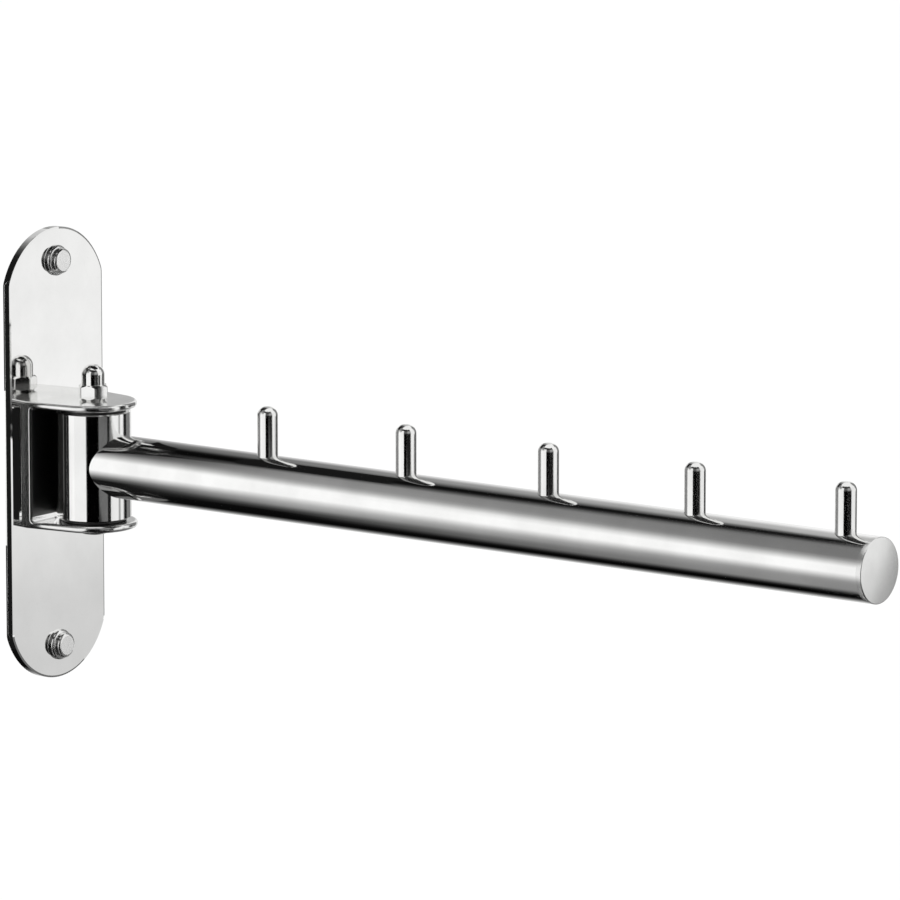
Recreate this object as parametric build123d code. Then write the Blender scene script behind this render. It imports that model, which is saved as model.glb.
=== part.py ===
"""Wall-mounted valet hook with a swinging peg arm.

Lengths are in millimetres. The origin is the middle of the plate's wall face.
+X points out of the wall along the arm at rest and +Z points up.
"""
import os
from math import acos, asin, atan2, cos, degrees, hypot, radians, sin

from build123d import *

# Wall plate
plate_width = 42.0
plate_height = 134.0
plate_thickness = 2.5
plate_end_rise = 14.8
plate_corner_round = 5.0
plate_bevel_width = 0.55
plate_bevel_depth = 0.2

# Wall fixings: a plain round-head screw on a rounded collar at each end of the plate
fixing_inset = 9.75
screw_diameter = 4.0
screw_neck_step = 0.25
screw_reach = 10.0
screw_tip_chamfer = 0.8
screw_head_diameter = 7.4
screw_head_height = 1.8
screw_head_round = 0.85
collar_diameter = 9.0
collar_height = 1.25
collar_edge_round = 0.85
screw_hole_clearance = 0.2

# Hinge bracket: a square U of flat bar with a tapered ear above and below
hinge_drop = 1.5
bracket_height = 37.6
bracket_base_width = 30.0
bracket_sheet = 2.0
bracket_root_round = 0.8
ear_overhang = 1.7
bracket_edge_round = 0.85
barrel_web_gap = 0.7

# Pivot bolt and cap nut
bolt_diameter = 5.0
bolt_head_diameter = 9.0
bolt_head_height = 2.0
bolt_head_round = 1.3
bolt_socket_across_flats = 3.0
bolt_socket_depth = 1.2
bolt_thread_engagement = 6.4
bolt_tip_chamfer = 0.6
ear_hole_clearance = 0.1
nut_across_flats = 8.0
nut_hex_height = 4.6
nut_height = 10.5
nut_dome_diameter = 6.8
nut_dome_round = 3.1
nut_corner_chamfer = 0.8
nut_seat_chamfer = 1.1
nut_edge_round = 0.55
nut_turn = 17.0
nut_bore_spare = 0.8
thread_clearance = 0.05

# Swivel barrel and its two flanged bushes
barrel_diameter = 22.0
barrel_bore = 12.0
barrel_edge_chamfer = 0.3
bush_length = 9.0
bush_flange_diameter = 19.0
bush_flange_height = 0.8
running_clearance = 0.05
end_play = 0.15

# Arm tube and end cap
tube_diameter = 18.5
tube_wall = 1.5
arm_tip_margin = 11.5
cap_height = 2.0
cap_dome_rise = 0.3
cap_edge_round = 0.25
cap_spigot_length = 6.0
cap_spigot_clearance = 0.05

# Hanger pegs along the crest of the arm
peg_count = 5
peg_diameter = 6.0
peg_rise = 14.1
peg_first = 65.0
peg_pitch = 50.0
peg_dome_round = 2.5
peg_inset = 4.0
peg_hole_clearance = 0.02

# How far a cutter runs past what it cuts
cut_margin = 1.0

# Sizes and places that follow from the values above
plate_end_radius = ((plate_width / 2) ** 2 + plate_end_rise**2) / (2 * plate_end_rise)
fixing_spacing = plate_height - 2 * fixing_inset
screw_neck_diameter = screw_diameter + 2 * screw_neck_step
screw_hole_diameter = screw_neck_diameter + 2 * screw_hole_clearance
pin_reach = bracket_sheet + barrel_web_gap + barrel_diameter / 2
pin_x = plate_thickness + pin_reach
ear_radius = barrel_diameter / 2 + ear_overhang
hinge_z = -hinge_drop
ear_top = hinge_z + bracket_height / 2
ear_bottom = hinge_z - bracket_height / 2
gap_top = ear_top - bracket_sheet
gap_bottom = ear_bottom + bracket_sheet
barrel_top = gap_top - end_play - bush_flange_height
barrel_bottom = gap_bottom + end_play + bush_flange_height
arm_tip = pin_x + peg_first + (peg_count - 1) * peg_pitch + arm_tip_margin
tube_end = arm_tip - cap_height
tube_inner = tube_diameter - 2 * tube_wall
cap_dome_radius = ((tube_diameter / 2) ** 2 + cap_dome_rise**2) / (2 * cap_dome_rise)
crest_z = hinge_z + tube_diameter / 2
pivot_bore = bolt_diameter + 2 * running_clearance
ear_hole_diameter = bolt_diameter + 2 * ear_hole_clearance
nut_corner_diameter = nut_across_flats / cos(radians(30))


def rod_x(diameter, start, end, y=0.0, z=0.0):
    """A round bar along X."""
    plane = Plane((start, y, z), x_dir=(0, 1, 0), z_dir=(1, 0, 0))
    return extrude(plane * Circle(diameter / 2), amount=end - start)


def rod_z(diameter, start, end, x=0.0, y=0.0):
    """A round bar along Z."""
    plane = Plane((x, y, start), x_dir=(1, 0, 0), z_dir=(0, 0, 1))
    return extrude(plane * Circle(diameter / 2), amount=end - start)


def rim(solid, axis, last=True):
    """The edges of a solid's outermost face along an axis."""
    faces = solid.faces().sort_by(axis)
    return (faces[-1] if last else faces[0]).edges()


def make_wall_plate():
    straight = Rectangle(plate_width, plate_height)
    end_shift = plate_height / 2 - plate_end_radius
    rounded = Rectangle(2 * plate_end_radius, 2 * end_shift)
    for side in (-1, 1):
        rounded += Pos(0, side * end_shift) * Circle(plate_end_radius)
    outline = straight & rounded
    outline = fillet(outline.vertices(), plate_corner_round)
    plate = extrude(Plane.YZ * outline, amount=plate_thickness)
    front = plate.faces().sort_by(Axis.X)[-1]
    plate = chamfer(front.edges(), plate_bevel_width, plate_bevel_depth, reference=front)
    for side in (-1, 1):
        z = side * fixing_spacing / 2
        plate -= rod_x(screw_hole_diameter, -cut_margin, plate_thickness + cut_margin, 0, z)
    return plate


def make_fixing_collar(z):
    outer = plate_thickness + collar_height
    collar = rod_x(collar_diameter, plate_thickness, outer, 0, z)
    collar = fillet(rim(collar, Axis.X), collar_edge_round)
    return collar - rod_x(screw_hole_diameter, plate_thickness - cut_margin, outer + cut_margin, 0, z)


def make_wall_screw(z):
    seat = plate_thickness + collar_height
    head = rod_x(screw_head_diameter, seat, seat + screw_head_height, 0, z)
    head = fillet(rim(head, Axis.X), screw_head_round)
    shank = rod_x(screw_diameter, -screw_reach, 0, 0, z)
    shank = chamfer(rim(shank, Axis.X, last=False), screw_tip_chamfer)
    return head + rod_x(screw_neck_diameter, 0, seat, 0, z) + shank


def ear_outline():
    """Plan view of the bracket: straight sides that run into the round ear ends."""
    half = bracket_base_width / 2
    spread = acos(ear_radius / hypot(pin_reach, half))
    turn = atan2(half, -pin_reach) - spread
    touch_x = pin_x + ear_radius * cos(turn)
    touch_y = ear_radius * sin(turn)
    sides = Polyline(
        (plate_thickness, -half),
        (touch_x, -touch_y),
        (touch_x, touch_y),
        (plate_thickness, half),
        close=True,
    )
    return make_face(sides) + Pos(pin_x, 0) * Circle(ear_radius)


def make_hinge_bracket():
    depth = pin_reach + ear_radius + cut_margin
    outside = Rectangle(depth, bracket_height)
    inside = Pos(bracket_sheet, 0) * Rectangle(depth, bracket_height - 2 * bracket_sheet)
    inside = fillet(inside.vertices().group_by(Axis.X)[0], bracket_root_round)
    side_view = Plane.XZ * Pos(plate_thickness + depth / 2, hinge_z) * (outside - inside)
    square_u = extrude(side_view, amount=bracket_base_width, both=True)
    plan_plane = Plane.XY.offset(ear_bottom - cut_margin)
    plan = extrude(plan_plane * ear_outline(), amount=bracket_height + 2 * cut_margin)
    bracket = square_u & plan
    edges = bracket.edges()
    seat_edges = bracket.faces().sort_by(Axis.X)[0].edges()
    root_seams = edges.filter_by(Axis.Y)
    tangent_seams = edges.filter_by(Axis.Z).filter_by(lambda edge: edge.length < 2 * bracket_sheet)
    bracket = fillet(edges - seat_edges - root_seams - tangent_seams, bracket_edge_round)
    return bracket - rod_z(ear_hole_diameter, ear_bottom - cut_margin, ear_top + cut_margin, pin_x)


def make_pivot_bolt():
    tip = ear_top + bolt_thread_engagement
    shank = rod_z(bolt_diameter, ear_bottom, tip, pin_x)
    shank = chamfer(rim(shank, Axis.Z), bolt_tip_chamfer)
    low = ear_bottom - bolt_head_height
    head = rod_z(bolt_head_diameter, low, ear_bottom, pin_x)
    head = fillet(rim(head, Axis.Z, last=False), bolt_head_round)
    flats = Plane((pin_x, 0, low)) * RegularPolygon(bolt_socket_across_flats / 2, 6, major_radius=False)
    return head + shank - extrude(flats, amount=bolt_socket_depth)


def make_pivot_nut():
    base = Plane((pin_x, 0, ear_top))
    flats = base * Rot(0, 0, nut_turn) * RegularPolygon(nut_across_flats / 2, 6, major_radius=False)
    hexagon = extrude(flats, amount=nut_hex_height)
    hexagon = fillet(hexagon.edges().filter_by(Axis.Z), nut_edge_round)
    blank = rod_z(nut_corner_diameter, ear_top, ear_top + nut_hex_height, pin_x)
    blank = chamfer(rim(blank, Axis.Z), nut_corner_chamfer)
    blank = chamfer(rim(blank, Axis.Z, last=False), nut_seat_chamfer)
    dome_end = ear_top + nut_height
    dome = rod_z(nut_dome_diameter, ear_top, dome_end, pin_x)
    dome = fillet(rim(dome, Axis.Z), nut_dome_round)
    bore_end = ear_top + bolt_thread_engagement + nut_bore_spare
    bore = rod_z(bolt_diameter + 2 * thread_clearance, ear_top - cut_margin, bore_end, pin_x)
    return (hexagon & blank) + dome - bore


def make_hinge_barrel():
    barrel = rod_z(barrel_diameter, barrel_bottom, barrel_top, pin_x)
    barrel = chamfer(rim(barrel, Axis.Z) + rim(barrel, Axis.Z, last=False), barrel_edge_chamfer)
    return barrel - rod_z(barrel_bore, barrel_bottom - cut_margin, barrel_top + cut_margin, pin_x)


def make_bush(end_z, inward):
    """A flanged bush: its flange lies on the barrel's end and its sleeve runs inward."""
    deep = end_z + inward * bush_length
    face = end_z - inward * bush_flange_height
    low, high = sorted((deep, face))
    sleeve = rod_z(barrel_bore, min(end_z, deep), max(end_z, deep), pin_x)
    flange = rod_z(bush_flange_diameter, min(end_z, face), max(end_z, face), pin_x)
    return sleeve + flange - rod_z(pivot_bore, low - cut_margin, high + cut_margin, pin_x)


def make_arm_tube():
    tube = rod_x(tube_diameter, pin_x, tube_end, 0, hinge_z)
    tube -= rod_x(tube_inner, pin_x - cut_margin, tube_end + cut_margin, 0, hinge_z)
    tube -= rod_z(barrel_diameter, barrel_bottom, barrel_top, pin_x)
    hole = peg_diameter + 2 * peg_hole_clearance
    for index in range(peg_count):
        tube -= rod_z(hole, hinge_z, crest_z + cut_margin, peg_x(index))
    return tube


def make_end_cap():
    half = tube_diameter / 2
    shoulder = (arm_tip - cap_dome_rise, half)
    sweep = degrees(asin(half / cap_dome_radius))
    outline = Polyline((arm_tip, 0), (tube_end, 0), (tube_end, half), shoulder)
    outline += CenterArc((arm_tip - cap_dome_radius, 0), cap_dome_radius, 0, sweep)
    profile = make_face(outline)
    profile = fillet(profile.vertices().group_by(Axis.Y)[-1].sort_by(Axis.X)[-1], cap_edge_round)
    upright = Plane((0, 0, hinge_z), x_dir=(1, 0, 0), z_dir=(0, -1, 0))
    disc = revolve(upright * profile, Axis((0, 0, hinge_z), (1, 0, 0)))
    spigot = tube_inner - 2 * cap_spigot_clearance
    return disc + rod_x(spigot, tube_end - cap_spigot_length, tube_end, 0, hinge_z)


def peg_x(index):
    return pin_x + peg_first + index * peg_pitch


def make_peg(index):
    peg = rod_z(peg_diameter, crest_z - peg_inset, crest_z + peg_rise, peg_x(index))
    return fillet(rim(peg, Axis.Z), peg_dome_round)


nodes = {
    "wall_plate": make_wall_plate(),
    "fixing_collar_upper": make_fixing_collar(fixing_spacing / 2),
    "fixing_collar_lower": make_fixing_collar(-fixing_spacing / 2),
    "wall_screw_upper": make_wall_screw(fixing_spacing / 2),
    "wall_screw_lower": make_wall_screw(-fixing_spacing / 2),
    "hinge_bracket": make_hinge_bracket(),
    "pivot_bolt": make_pivot_bolt(),
    "pivot_cap_nut": make_pivot_nut(),
    "hinge_barrel": make_hinge_barrel(),
    "upper_bush": make_bush(barrel_top, -1),
    "lower_bush": make_bush(barrel_bottom, 1),
    "arm_tube": make_arm_tube(),
    "end_cap": make_end_cap(),
}
for index in range(peg_count):
    nodes[f"hanger_peg_{index + 1}"] = make_peg(index)

os.makedirs("parts", exist_ok=True)
for name, solid in nodes.items():
    export_step(solid, f"parts/{name}.step")
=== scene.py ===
"""Polished stainless valet hook in a white studio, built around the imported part. Lengths in metres."""

from math import atan2, cos, hypot, pi, radians, sin

import bmesh
import bpy
from mathutils import Matrix, Vector


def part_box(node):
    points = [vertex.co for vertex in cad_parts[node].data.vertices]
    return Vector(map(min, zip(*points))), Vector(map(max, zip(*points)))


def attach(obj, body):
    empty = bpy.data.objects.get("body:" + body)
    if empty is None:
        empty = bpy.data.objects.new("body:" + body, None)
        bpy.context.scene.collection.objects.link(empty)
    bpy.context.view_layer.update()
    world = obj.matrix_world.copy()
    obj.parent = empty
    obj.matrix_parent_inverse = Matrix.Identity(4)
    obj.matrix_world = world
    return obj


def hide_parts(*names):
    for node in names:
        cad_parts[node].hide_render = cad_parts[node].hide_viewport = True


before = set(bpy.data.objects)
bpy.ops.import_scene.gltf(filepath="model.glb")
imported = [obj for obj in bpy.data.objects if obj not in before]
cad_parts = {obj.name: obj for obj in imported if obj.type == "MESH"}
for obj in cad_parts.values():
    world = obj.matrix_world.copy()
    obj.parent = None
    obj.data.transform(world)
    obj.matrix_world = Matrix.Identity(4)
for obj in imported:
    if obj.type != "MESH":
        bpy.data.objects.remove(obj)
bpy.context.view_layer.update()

MM = 0.001

# Camera of the photograph, fitted to the outline of the part
VIEW_AZIMUTH = radians(37.05)
VIEW_ELEVATION = radians(9.99)
VIEW_DISTANCE = 2.0803
VIEW_CENTRE = Vector((0.14679, 0.0, 0.01619))
SENSOR_WIDTH = 36.0
VIEW_LENS = 295.4


# Small helpers

def linear(code):
    """An sRGB hex colour as linear RGBA."""
    channels = [int(code[i:i + 2], 16) / 255 for i in (1, 3, 5)]
    return [c / 12.92 if c <= 0.04045 else ((c + 0.055) / 1.055) ** 2.4 for c in channels] + [1.0]


def add_node(tree, kind, inputs=None, **settings):
    """Add a node, set its properties, and fill or link its inputs."""
    node = tree.nodes.new(kind)
    for key, value in settings.items():
        setattr(node, key, value)
    for key, value in (inputs or {}).items():
        if isinstance(value, bpy.types.NodeSocket):
            tree.links.new(value, node.inputs[key])
        else:
            node.inputs[key].default_value = value
    return node


def new_material(name):
    material = bpy.data.materials.new(name)
    material.use_nodes = True
    tree = material.node_tree
    tree.nodes.clear()
    return material, tree


def new_object(name, bm):
    """Turn a bmesh into a mesh object at the origin, smooth except at its sharp edges."""
    mesh = bpy.data.meshes.new(name)
    bm.to_mesh(mesh)
    bm.free()
    mesh.shade_smooth()
    mesh.set_sharp_from_angle(angle=radians(35))
    piece = bpy.data.objects.new(name, mesh)
    bpy.context.scene.collection.objects.link(piece)
    return piece


# Materials of the hook

def steel(name, bright, shade, low, high, grain_mm, scratch_mm, skin=None):
    """Polished stainless steel. The buffing wheel leaves hair-fine lines along grain_mm, which
    stretch the highlights a little, and a faint cloudy haze that dulls the mirror in patches.
    Where the wheel doesn't go, the rolled skin stays: skin is its mask, its colour and its roughness.
    On the bracket's web between the ears that colour is dark grey, and the dark is painted shade of the
    recess."""
    material, tree = new_material(name)
    place = add_node(tree, "ShaderNodeTexCoord").outputs["Object"]
    lines_place = add_node(tree, "ShaderNodeMapping", {
        "Vector": place,
        "Scale": [1 / (size * MM) for size in grain_mm],
    }).outputs["Vector"]
    lines = add_node(tree, "ShaderNodeTexNoise", {
        "Vector": lines_place, "Scale": 1.0, "Detail": 3.0, "Roughness": 0.6,
    }).outputs["Fac"]
    haze = add_node(tree, "ShaderNodeTexNoise", {
        "Vector": place, "Scale": 1 / (14 * MM), "Detail": 4.0, "Roughness": 0.55,
    }).outputs["Fac"]
    mixed = add_node(tree, "ShaderNodeMath", {0: lines, 1: haze}, operation="MULTIPLY").outputs[0]
    rough = add_node(tree, "ShaderNodeMapRange", {
        "Value": mixed, "From Min": 0.1, "From Max": 0.45, "To Min": low, "To Max": high,
    }).outputs["Result"]
    tone = add_node(tree, "ShaderNodeMapRange", {
        "Value": haze, "From Min": 0.35, "From Max": 0.65,
    }).outputs["Result"]
    tint = add_node(tree, "ShaderNodeMix", {
        "Factor": tone, "A": linear(bright), "B": linear(shade),
    }, data_type="RGBA")
    bump = add_node(tree, "ShaderNodeBump", {
        "Height": lines, "Strength": 1.0, "Distance": scratch_mm * MM,
    }).outputs["Normal"]
    colour = tint.outputs["Result"]
    # The unbuffed part's own roughness and colour; on the bracket's web the dark colour is painted shade
    if skin:
        mask, skin_and_shade_tint, skin_rough = skin
        share = mask(tree, place)
        colour = add_node(tree, "ShaderNodeMix", {
            "Factor": share, "A": colour, "B": linear(skin_and_shade_tint),
        }, data_type="RGBA").outputs["Result"]
        rough = add_node(tree, "ShaderNodeMix", {
            "Factor": share, "A": rough, "B": skin_rough,
        }).outputs["Result"]
    shader = add_node(tree, "ShaderNodeBsdfPrincipled", {
        "Base Color": colour, "Metallic": 1.0, "Roughness": rough, "Normal": bump,
    })
    add_node(tree, "ShaderNodeOutputMaterial", {"Surface": shader.outputs["BSDF"]})
    return material


def facing_share(tree, low, high):
    """0 to 1 as the surface's normal along X goes from low to high."""
    facing = add_node(tree, "ShaderNodeNewGeometry").outputs["Normal"]
    ahead = add_node(tree, "ShaderNodeSeparateXYZ", {"Vector": facing}).outputs["X"]
    return add_node(tree, "ShaderNodeMapRange", {"Value": ahead, "From Min": low, "From Max": high})


def plate_back(tree, place):
    """1 on the plate's back, which lies on the wall, 0 elsewhere."""
    return facing_share(tree, -0.6, -0.9).outputs["Result"]


def shaded_web_between_ears(tree, place):
    """1 on the bracket's back wall between its ears, 0 elsewhere. The dark grey put there is painted shade.
    """
    axes = add_node(tree, "ShaderNodeSeparateXYZ", {"Vector": place}).outputs
    parts = [
        add_node(tree, "ShaderNodeMath", {0: axes["X"], 1: 6 * MM}, operation="LESS_THAN"),
        add_node(tree, "ShaderNodeMath", {0: axes["Z"], 1: -0.7 * MM, 2: 16.2 * MM}, operation="COMPARE"),
        facing_share(tree, 0.6, 0.9),
    ]
    share = parts[0].outputs[0]
    for part in parts[1:]:
        both = add_node(tree, "ShaderNodeMath", {0: share, 1: part.outputs[0]}, operation="MULTIPLY")
        share = both.outputs[0]
    return share


def nylon(name):
    """Black nylon, turned from rod: dark and slightly waxy, with faint rings from the tool. The black is
    partly the nylon's own colour and partly painted shade of the gaps between the ears and the barrel.
    """
    material, tree = new_material(name)
    place = add_node(tree, "ShaderNodeTexCoord").outputs["Object"]
    rings_place = add_node(tree, "ShaderNodeMapping", {
        "Vector": place, "Scale": (1 / (6 * MM), 1 / (6 * MM), 1 / (0.25 * MM)),
    }).outputs["Vector"]
    rings = add_node(tree, "ShaderNodeTexNoise", {
        "Vector": rings_place, "Scale": 1.0, "Detail": 2.0,
    }).outputs["Fac"]
    tint = add_node(tree, "ShaderNodeMix", {
        "Factor": rings, "A": linear("#262626"), "B": linear("#1A1A1A"),
    }, data_type="RGBA")
    bump = add_node(tree, "ShaderNodeBump", {
        "Height": rings, "Strength": 0.4, "Distance": 0.01 * MM,
    }).outputs["Normal"]
    shader = add_node(tree, "ShaderNodeBsdfPrincipled", {
        "Base Color": tint.outputs["Result"], "Roughness": 0.45, "IOR": 1.53, "Normal": bump,
    })
    add_node(tree, "ShaderNodeOutputMaterial", {"Surface": shader.outputs["BSDF"]})
    return material


plate_skin = (plate_back, "#D6D6D4", 0.42)
# Bracket web between the ears: rougher unbuffed steel, and a dark grey that is painted shade of the recess
bracket_skin_and_painted_shade = (shaded_web_between_ears, "#585857", 0.3)
plate_steel = steel(
    "mirror_stainless_sheet", "#F4F4F3", "#EEEEED", 0.02, 0.05, (4, 4, 0.12), 0.0001, plate_skin,
)
arm_steel = steel("buffed_stainless_tube", "#F2F2F1", "#E9E9E8", 0.05, 0.10, (9, 0.15, 0.15), 0.0002)
barrel_steel = steel("turned_polished_stainless", "#F2F2F1", "#E9E9E8", 0.06, 0.12, (3, 3, 0.12), 0.0002)
peg_steel = steel("polished_stainless_rod", "#F2F2F1", "#E9E9E8", 0.10, 0.16, (0.12, 0.12, 4), 0.0002)
bracket_steel = steel(
    "polished_flat_bar", "#F0F0EF", "#E6E6E5", 0.14, 0.20, (0.4, 6, 0.15), 0.0002, bracket_skin_and_painted_shade,
)
cap_steel = steel("satin_stainless_cap", "#ECECEB", "#E2E2E1", 0.16, 0.22, (3, 0.15, 4), 0.0003)
fastener_steel = steel("bright_stainless_nut", "#F2F2F1", "#E8E8E7", 0.10, 0.16, (0.5, 0.5, 0.5), 0.0002)
fixing_steel = steel("turned_stainless_fixing", "#F4F4F3", "#ECECEB", 0.20, 0.26, (2, 0.6, 0.6), 0.0002)
# Bushes: black nylon, whose black is also painted shade in the gaps under the ears
bush_nylon_and_gap_shade = nylon("black_nylon_and_gap_shade")

finishes = {
    "wall_plate": plate_steel,
    "hinge_bracket": bracket_steel,
    "hinge_barrel": barrel_steel,
    "arm_tube": arm_steel,
    "end_cap": cap_steel,
    "upper_bush": bush_nylon_and_gap_shade,
    "lower_bush": bush_nylon_and_gap_shade,
}
for name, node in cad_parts.items():
    if name.startswith("hanger_peg"):
        node.material_slots[0].material = peg_steel
    elif name.startswith(("fixing_collar", "wall_screw")):
        node.material_slots[0].material = fixing_steel
    else:
        node.material_slots[0].material = finishes.get(name, fastener_steel)


# Turned pieces

SPIN_STEPS = 96
ROUND_STEPS = 10


def spun(outline, middle):
    """Spin an outline of (x, radius) points about the line y = 0, z = middle."""
    bm = bmesh.new()
    points = [bm.verts.new((x, -radius, middle)) for x, radius in outline]
    lines = [bm.edges.new(pair) for pair in zip(points, points[1:])]
    bmesh.ops.spin(
        bm, geom=points + lines, cent=(0, 0, middle), axis=(1, 0, 0),
        angle=2 * pi, steps=SPIN_STEPS, use_merge=True,
    )
    bmesh.ops.remove_doubles(bm, verts=bm.verts, dist=0.001 * MM)
    return bm


def front_round(front, radius, size):
    """Outline points of a rounded front edge, from the side to the face."""
    turns = [pi / 2 * step / ROUND_STEPS for step in range(ROUND_STEPS + 1)]
    return [(front - size * (1 - sin(turn)), radius - size * (1 - cos(turn))) for turn in turns]


# Threaded wall screws: the solid's head and neck, with a rolled thread and a point behind the plate

SCREW_NECK_RADIUS = 2.25 * MM
SCREW_HEAD_ROUND = 0.85 * MM
THREAD_RADIUS = 2.0 * MM
THREAD_DEPTH = 0.55 * MM
THREAD_PITCH = 1.4 * MM
THREAD_RINGS = 12
POINT_LENGTH = 3.2 * MM
POINT_RADIUS = 0.12 * MM


def thread_radius(x, turn, tip):
    """Radius of the screw behind the plate, at a place along it and a part of a turn round it."""
    place = (x / THREAD_PITCH + turn) % 1.0
    ridge = max(0.0, 1.0 - abs(place - 0.5) / 0.36)
    crest = min(1.0, ridge / 0.75)
    taper = min(1.0, (x - tip) / POINT_LENGTH)
    core = THREAD_RADIUS - THREAD_DEPTH
    return POINT_RADIUS + taper * (core - POINT_RADIUS + THREAD_DEPTH * crest)


def make_wall_screw(name, node, collar):
    low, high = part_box(node)
    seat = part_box(collar)[1][0]
    tip, front = low[0], high[0]
    head = (high[1] - low[1]) / 2
    middle = (low[2] + high[2]) / 2
    ring_gap = THREAD_PITCH / THREAD_RINGS
    rings = int(-tip / ring_gap)
    outline = [(tip, 0.0), (tip, POINT_RADIUS)]
    outline += [(tip + (-tip) * (index + 1) / rings, THREAD_RADIUS) for index in range(rings)]
    outline += [(0.0, SCREW_NECK_RADIUS), (seat, SCREW_NECK_RADIUS), (seat, head)]
    outline += front_round(front, head, SCREW_HEAD_ROUND)
    outline += [(front, (head - SCREW_HEAD_ROUND) * 0.97), (front, 0.0)]
    bm = spun(outline, middle)
    for vert in bm.verts:
        x, y, z = vert.co
        out = hypot(y, z - middle)
        if tip < x <= 0 and out < SCREW_NECK_RADIUS - 0.01 * MM and out > 0:
            scale = thread_radius(x, atan2(z - middle, y) / (2 * pi), tip) / out
            vert.co = (x, y * scale, middle + (z - middle) * scale)
    bmesh.ops.recalc_face_normals(bm, faces=bm.faces)
    screw = new_object(name, bm)
    screw.data.materials.append(fixing_steel)
    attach(screw, "wall_mount")
    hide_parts(node)


make_wall_screw("threaded_wall_screw_upper", "wall_screw_upper", "fixing_collar_upper")
make_wall_screw("threaded_wall_screw_lower", "wall_screw_lower", "fixing_collar_lower")


# End cap: turned afresh, so that its slightly domed face mirrors the studio without a flaw

CAP_DOME_RISE = 0.3 * MM
CAP_DOME_STEPS = 16
CAP_EDGE_ROUND = 0.25 * MM
CAP_SPIGOT_RADIUS = 7.7 * MM


def make_end_cap():
    low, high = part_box("end_cap")
    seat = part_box("arm_tube")[1][0]
    half = (high[1] - low[1]) / 2
    rim = half - CAP_EDGE_ROUND
    rings = [rim * (1 - step / CAP_DOME_STEPS) for step in range(CAP_DOME_STEPS + 1)]
    dome = [(high[0] - CAP_DOME_RISE * (ring / half) ** 2, ring) for ring in rings]
    outline = [(low[0], 0.0), (low[0], CAP_SPIGOT_RADIUS), (seat, CAP_SPIGOT_RADIUS), (seat, half)]
    outline += front_round(dome[0][0], half, CAP_EDGE_ROUND)
    outline += dome[1:]
    bm = spun(outline, (low[2] + high[2]) / 2)
    bmesh.ops.recalc_face_normals(bm, faces=bm.faces)
    cap = new_object("turned_end_cap", bm)
    cap.data.materials.append(cap_steel)
    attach(cap, "swing_arm")
    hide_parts("end_cap")


make_end_cap()


# Studio around the hook

def sheet_card(name, corner, along, up):
    """A flat reflector card from a corner and two edges. Only polished metal sees it."""
    corner, along, up = Vector(corner), Vector(along), Vector(up)
    bm = bmesh.new()
    bm.faces.new([bm.verts.new(p) for p in (corner, corner + along, corner + along + up, corner + up)])
    piece = new_object(name, bm)
    piece.visible_camera = False
    piece.visible_diffuse = False
    piece.visible_shadow = False
    return piece


def ramp(tree, value, low, high, stops):
    """A grey scale along a value: stops are (place between low and high, grey)."""
    share = add_node(tree, "ShaderNodeMapRange", {
        "Value": value, "From Min": low, "From Max": high,
    }).outputs["Result"]
    node = add_node(tree, "ShaderNodeValToRGB", {"Fac": share})
    scale = node.color_ramp.elements
    scale.remove(scale[1])
    for index, (place, grey) in enumerate(stops):
        spot = (place - low) / (high - low)
        element = scale.new(spot) if index else scale[0]
        element.position = spot
        element.color = (grey, grey, grey, 1)
    return node.outputs["Color"]


def paint(piece, grey):
    """Give a card one even grey."""
    material, tree = new_material(piece.name + "_paint")
    glow = add_node(tree, "ShaderNodeEmission", {"Color": (grey, grey, grey, 1), "Strength": 1.0})
    add_node(tree, "ShaderNodeOutputMaterial", {"Surface": glow.outputs["Emission"]})
    piece.data.materials.append(material)


def paint_round_arm(cards, stations):
    """One paint for the cards round the arm. Each point of a card shows in the arm at one angle round it
    and at one place along it. Angle 0 is level on the arm's near side and 90 is straight up."""
    material, tree = new_material("arm_surround_paint")
    place = add_node(tree, "ShaderNodeTexCoord").outputs["Object"]
    axes = add_node(tree, "ShaderNodeSeparateXYZ", {"Vector": place}).outputs
    near_side = add_node(tree, "ShaderNodeMath", {0: axes["Y"], 1: -1.0}, operation="MULTIPLY").outputs[0]
    angle = add_node(tree, "ShaderNodeMath", {0: axes["Z"], 1: near_side}, operation="ARCTAN2").outputs[0]
    across = add_node(tree, "ShaderNodeCombineXYZ", {"Y": axes["Y"], "Z": axes["Z"]}).outputs[0]
    out = add_node(tree, "ShaderNodeVectorMath", {0: across}, operation="LENGTH").outputs["Value"]
    share = add_node(tree, "ShaderNodeMath", {0: out, 1: CAMERA_OUT}, operation="DIVIDE").outputs[0]
    reach = add_node(tree, "ShaderNodeMath", {
        0: share, 1: CAMERA_ALONG, 2: axes["X"],
    }, operation="MULTIPLY_ADD").outputs[0]
    whole = add_node(tree, "ShaderNodeMath", {0: share, 1: 1.0}, operation="ADD").outputs[0]
    along = add_node(tree, "ShaderNodeMath", {0: reach, 1: whole}, operation="DIVIDE").outputs[0]
    grey = None
    for index, (station, stops) in enumerate(stations):
        tone = ramp(tree, angle, -pi, pi, [(radians(turn), level) for turn, level in stops])
        if index:
            blend = add_node(tree, "ShaderNodeMapRange", {
                "Value": along, "From Min": stations[index - 1][0], "From Max": station,
            }).outputs["Result"]
            mix = add_node(tree, "ShaderNodeMix", {"Factor": blend, "A": grey, "B": tone}, data_type="RGBA")
            tone = mix.outputs["Result"]
        grey = tone
    glow = add_node(tree, "ShaderNodeEmission", {"Color": grey, "Strength": 1.0})
    add_node(tree, "ShaderNodeOutputMaterial", {"Surface": glow.outputs["Emission"]})
    for piece in cards:
        piece.data.materials.append(material)


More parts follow.
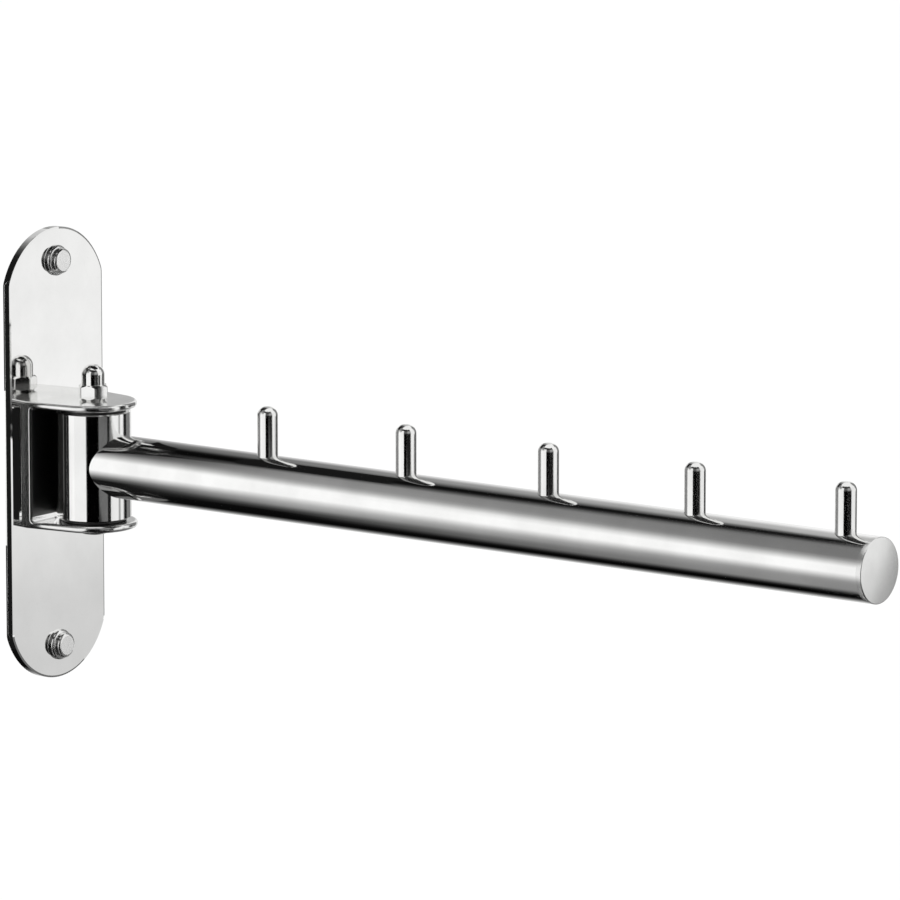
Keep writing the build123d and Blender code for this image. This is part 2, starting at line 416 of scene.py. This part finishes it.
def paint_graded(piece, direction, stops):
    """Grade a card along a direction: stops are (distance along it, grey)."""
    material, tree = new_material(piece.name + "_paint")
    place = add_node(tree, "ShaderNodeTexCoord").outputs["Object"]
    along = add_node(tree, "ShaderNodeVectorMath", {0: place, 1: direction}, operation="DOT_PRODUCT")
    grey = ramp(tree, along.outputs["Value"], stops[0][0], stops[-1][0], stops)
    glow = add_node(tree, "ShaderNodeEmission", {"Color": grey, "Strength": 1.0})
    add_node(tree, "ShaderNodeOutputMaterial", {"Surface": glow.outputs["Emission"]})
    piece.data.materials.append(material)


def toward(bearing, distance):
    """A level point from the hinge, by its bearing from the camera's direction (right is positive)."""
    turn = VIEW_AZIMUTH + radians(bearing)
    return Vector((sin(turn), -cos(turn), 0)) * distance


def standing_card(name, bearing_from, bearing_to, low=-1.2, high=1.0, distance=2.0):
    """A card that stands upright between two bearings."""
    start = toward(bearing_from, distance)
    end = toward(bearing_to, distance)
    start.z = low
    return sheet_card(name, start, (end.x - start.x, end.y - start.y, 0), (0, 0, high - low))


def level_card(name, low, high, height):
    return sheet_card(name, (low[0], low[1], height), (high[0] - low[0], 0, 0), (0, high[1] - low[1], 0))


# Cards at the photograph's side: the upright round pieces and the plate mirror these
paint_graded(
    standing_card("camera_flag", -20, 18, high=3.4), (0, 0, 1),
    [(-1.2, 0.0), (0.0, 0.0), (0.4, 0.1), (1.1, 0.12), (1.5, 0.03), (3.4, 0.02)],
)
paint_graded(
    standing_card("right_front_flag", 18, 56, high=2.8), (0, 0, 1),
    [(-1.2, 0.01), (0.0, 0.01), (0.4, 0.3), (1.1, 0.4), (1.5, 0.04), (2.8, 0.02)],
)
paint(sheet_card("barrel_card", (0.33, -0.22, -0.08), (0, 0.175, 0), (0, 0, 0.042)), 0.165)
paint_graded(
    standing_card("right_card", 57, 108), (0, 0, 1),
    [(-1.2, 0.55), (-0.42, 0.7), (-0.33, 1.03), (-0.28, 0.96), (1.0, 0.93)],
)
paint_graded(
    sheet_card("cap_card", (0.4, 0.3, -0.22), (0.16, 0, 0), (0, 0, 0.3)), (1, 0, 0.8),
    [(0.3, 0.3), (0.391, 0.4), (0.417, 0.52), (0.443, 0.85), (0.478, 1.0), (0.5, 1.0)],
)
paint_graded(
    standing_card("right_rear_flag", 108, 122, high=2.0), (0, 0, 1),
    [(-1.2, 0.01), (0.0, 0.01), (0.4, 0.3), (2.0, 0.4)],
)
paint(standing_card("rear_card", 122, 152, high=2.0), 0.22)
paint(standing_card("left_rear_card", -150, -87), 0.26)
paint(level_card("front_floor_flag", (0.085, -1.3), (1.1, 0.04), -0.36), 0.01)
paint(level_card("side_floor_card", (0.085, 0.04), (1.1, 0.9), -0.36), 0.16)
paint(sheet_card("plate_edge_flag", (-0.00375, -0.026, -0.09), (0.0063, 0, 0), (0, 0, 0.18)), 0.01)
paint(sheet_card("plate_top_flag", (-0.02, -0.026, 0.02), (0.0162, 0, 0), (0, 0, 0.07)), 0.01)
paint_graded(
    level_card("plate_arc_card", (-0.024, -0.024), (-0.0075, 0.013), 0.075), (0, 1, 0),
    [(-0.024, 0.01), (-0.019, 0.02), (-0.014, 0.08), (-0.009, 0.25), (-0.003, 0.6), (0.013, 0.75)],
)
paint(sheet_card("plate_foot_flag", (-0.02, -0.026, -0.09), (0.0162, 0, 0), (0, 0, 0.064)), 0.01)
paint(sheet_card("hinge_mouth_flag", (0.0046, -0.0153, -0.018), (0.0049, 0, 0), (0, 0, 0.033)), 0.01)
# Two glowing strips tucked into the lower ear's bend, close by the hook: they put a painted highlight on
# the lower ear's top face
paint(sheet_card("ear_card", (0.00457, -0.0021, -0.0182), (0.0045, -0.0078, 0), (0, 0, 0.0011)), 0.95)
paint(level_card("lower_ear_top_glow_card", (0.0046, -0.013), (0.0065, -0.003), -0.017), 0.95)
paint(sheet_card("joint_flag", (0.035, 0.0, 0.0125), (0, 0.006, 0), (0, 0, 0.012)), 0.01)
paint(level_card("hinge_top_flag", (0.0, -0.018), (0.06, 0.04), 0.1), 0.01)
paint(standing_card("left_upper_flag", -62, -20, low=1.6, high=3.4), 0.02)

# Cards round the arm's wall side: the arm mirrors these, softly graded from the hinge to the free end
CAMERA_ALONG = VIEW_CENTRE.x + VIEW_DISTANCE * sin(VIEW_AZIMUTH) * cos(VIEW_ELEVATION)
CAMERA_OUT = VIEW_DISTANCE * hypot(cos(VIEW_AZIMUTH) * cos(VIEW_ELEVATION), sin(VIEW_ELEVATION))
HINGE_END = [
    (-150, 0.7), (-136, 0.42), (-128, 0.24), (-120, 0.1), (-110, 0.003), (-50, 0.006), (-40, 0.1),
    (-32, 0.3), (-24, 0.6), (-12, 1.1), (26, 1.1), (40, 0.57), (48, 0.35), (56, 0.15), (64, 0.06),
    (76, 0.003), (110, 0.003), (128, 0.1), (150, 0.27), (170, 0.55),
]
FIRST_GAP = [
    (-150, 0.7), (-136, 0.42), (-128, 0.24), (-120, 0.1), (-110, 0.003), (-76, 0.003), (-64, 0.05),
    (-56, 0.15), (-48, 0.32), (-32, 0.53), (-20, 0.8), (-10, 1.1), (22, 1.1), (32, 0.75), (40, 0.49),
    (50, 0.34), (72, 0.29), (80, 0.1), (90, 0.003), (104, 0.003), (111, 0.03), (118, 0.17), (126, 0.22),
    (144, 0.22), (170, 0.7),
]
FREE_END = [
    (-150, 0.7), (-136, 0.42), (-128, 0.22), (-120, 0.08), (-110, 0.001), (-96, 0.002), (-88, 0.03),
    (-80, 0.14), (-72, 0.28), (-48, 0.31), (-40, 0.36), (-32, 0.53), (-14, 1.1), (10, 1.1), (24, 0.61),
    (32, 0.37), (42, 0.22), (74, 0.2), (80, 0.17), (88, 0.055), (96, 0.005), (103, 0.015), (109, 0.15),
    (116, 0.45), (124, 0.52), (136, 0.54), (152, 0.85), (162, 1.0),
]
paint_round_arm(
    [
        level_card("arm_upper_card", (-1.2, -1.3), (-0.08, 1.04), 0.6),
        level_card("arm_lower_card", (-1.2, -1.3), (0.08, 1.04), -0.35),
        sheet_card("arm_left_card", (-1.25, -1.3, -0.35), (0.75, 0, 0), (0, 0, 0.95)),
        sheet_card("arm_rear_card", (-1.05, 1.04, -0.35), (0.7, 0, 0), (0, 0, 0.95)),
    ],
    [(0.04, HINGE_END), (0.1, FIRST_GAP), (0.27, FREE_END)],
)


def make_floor():
    """Pale studio floor that keeps the hook's soft shadow."""
    bm = bmesh.new()
    bmesh.ops.create_grid(bm, x_segments=1, y_segments=1, size=6.0, matrix=Matrix.Translation((0, 0, -0.5)))
    floor = new_object("studio_floor", bm)
    material, tree = new_material("matt_white_floor_paint")
    place = add_node(tree, "ShaderNodeTexCoord").outputs["Object"]
    mottle = add_node(tree, "ShaderNodeTexNoise", {"Vector": place, "Scale": 3.0}).outputs["Fac"]
    tint = add_node(tree, "ShaderNodeMix", {
        "Factor": mottle, "A": linear("#FCFCFC"), "B": linear("#FAFAFA"),
    }, data_type="RGBA")
    shader = add_node(tree, "ShaderNodeBsdfDiffuse", {"Color": tint.outputs["Result"]})
    add_node(tree, "ShaderNodeOutputMaterial", {"Surface": shader.outputs["BSDF"]})
    floor.data.materials.append(material)


def make_world():
    """White surroundings for the camera and for reflections, and a plain soft level for everything else."""
    world = bpy.data.worlds.new("white_studio")
    bpy.context.scene.world = world
    world.use_nodes = True
    tree = world.node_tree
    tree.nodes.clear()
    path = add_node(tree, "ShaderNodeLightPath").outputs
    seen = path["Is Camera Ray"]
    for kind in ("Is Glossy Ray", "Is Transmission Ray"):
        seen = add_node(tree, "ShaderNodeMath", {0: seen, 1: path[kind]}, operation="MAXIMUM").outputs[0]
    soft = add_node(tree, "ShaderNodeBackground", {"Color": linear("#FFFFFF"), "Strength": 1.05})
    white = add_node(tree, "ShaderNodeBackground", {"Color": linear("#FFFFFF"), "Strength": 1.0})
    mix = add_node(tree, "ShaderNodeMixShader", {
        0: seen, 1: soft.outputs["Background"], 2: white.outputs["Background"],
    })
    add_node(tree, "ShaderNodeOutputWorld", {"Surface": mix.outputs["Shader"]})


def make_lamp(name, position, aim, size, power):
    lamp = bpy.data.lights.new(name, "AREA")
    lamp.shape = "SQUARE"
    lamp.size = size
    lamp.energy = power
    rig = bpy.data.objects.new(name, lamp)
    bpy.context.scene.collection.objects.link(rig)
    rig.location = position
    rig.rotation_euler = (Vector(aim) - Vector(position)).to_track_quat("-Z", "Y").to_euler()
    rig.visible_glossy = False


def make_camera():
    lens = bpy.data.cameras.new("photograph_view")
    lens.sensor_width = SENSOR_WIDTH
    lens.lens = VIEW_LENS
    lens.clip_end = 50
    camera = bpy.data.objects.new("photograph_view", lens)
    bpy.context.scene.collection.objects.link(camera)
    back = Vector((
        sin(VIEW_AZIMUTH) * cos(VIEW_ELEVATION),
        -cos(VIEW_AZIMUTH) * cos(VIEW_ELEVATION),
        sin(VIEW_ELEVATION),
    ))
    camera.location = VIEW_CENTRE + back * VIEW_DISTANCE
    camera.rotation_euler = (-back).to_track_quat("-Z", "Y").to_euler()
    bpy.context.scene.camera = camera


make_floor()
make_world()
make_lamp("left_softbox", (-0.62, -0.85, 0.27), (0.15, 0, 0), 1.0, 4.4)
make_camera()
bpy.context.scene.view_settings.view_transform = "Standard"
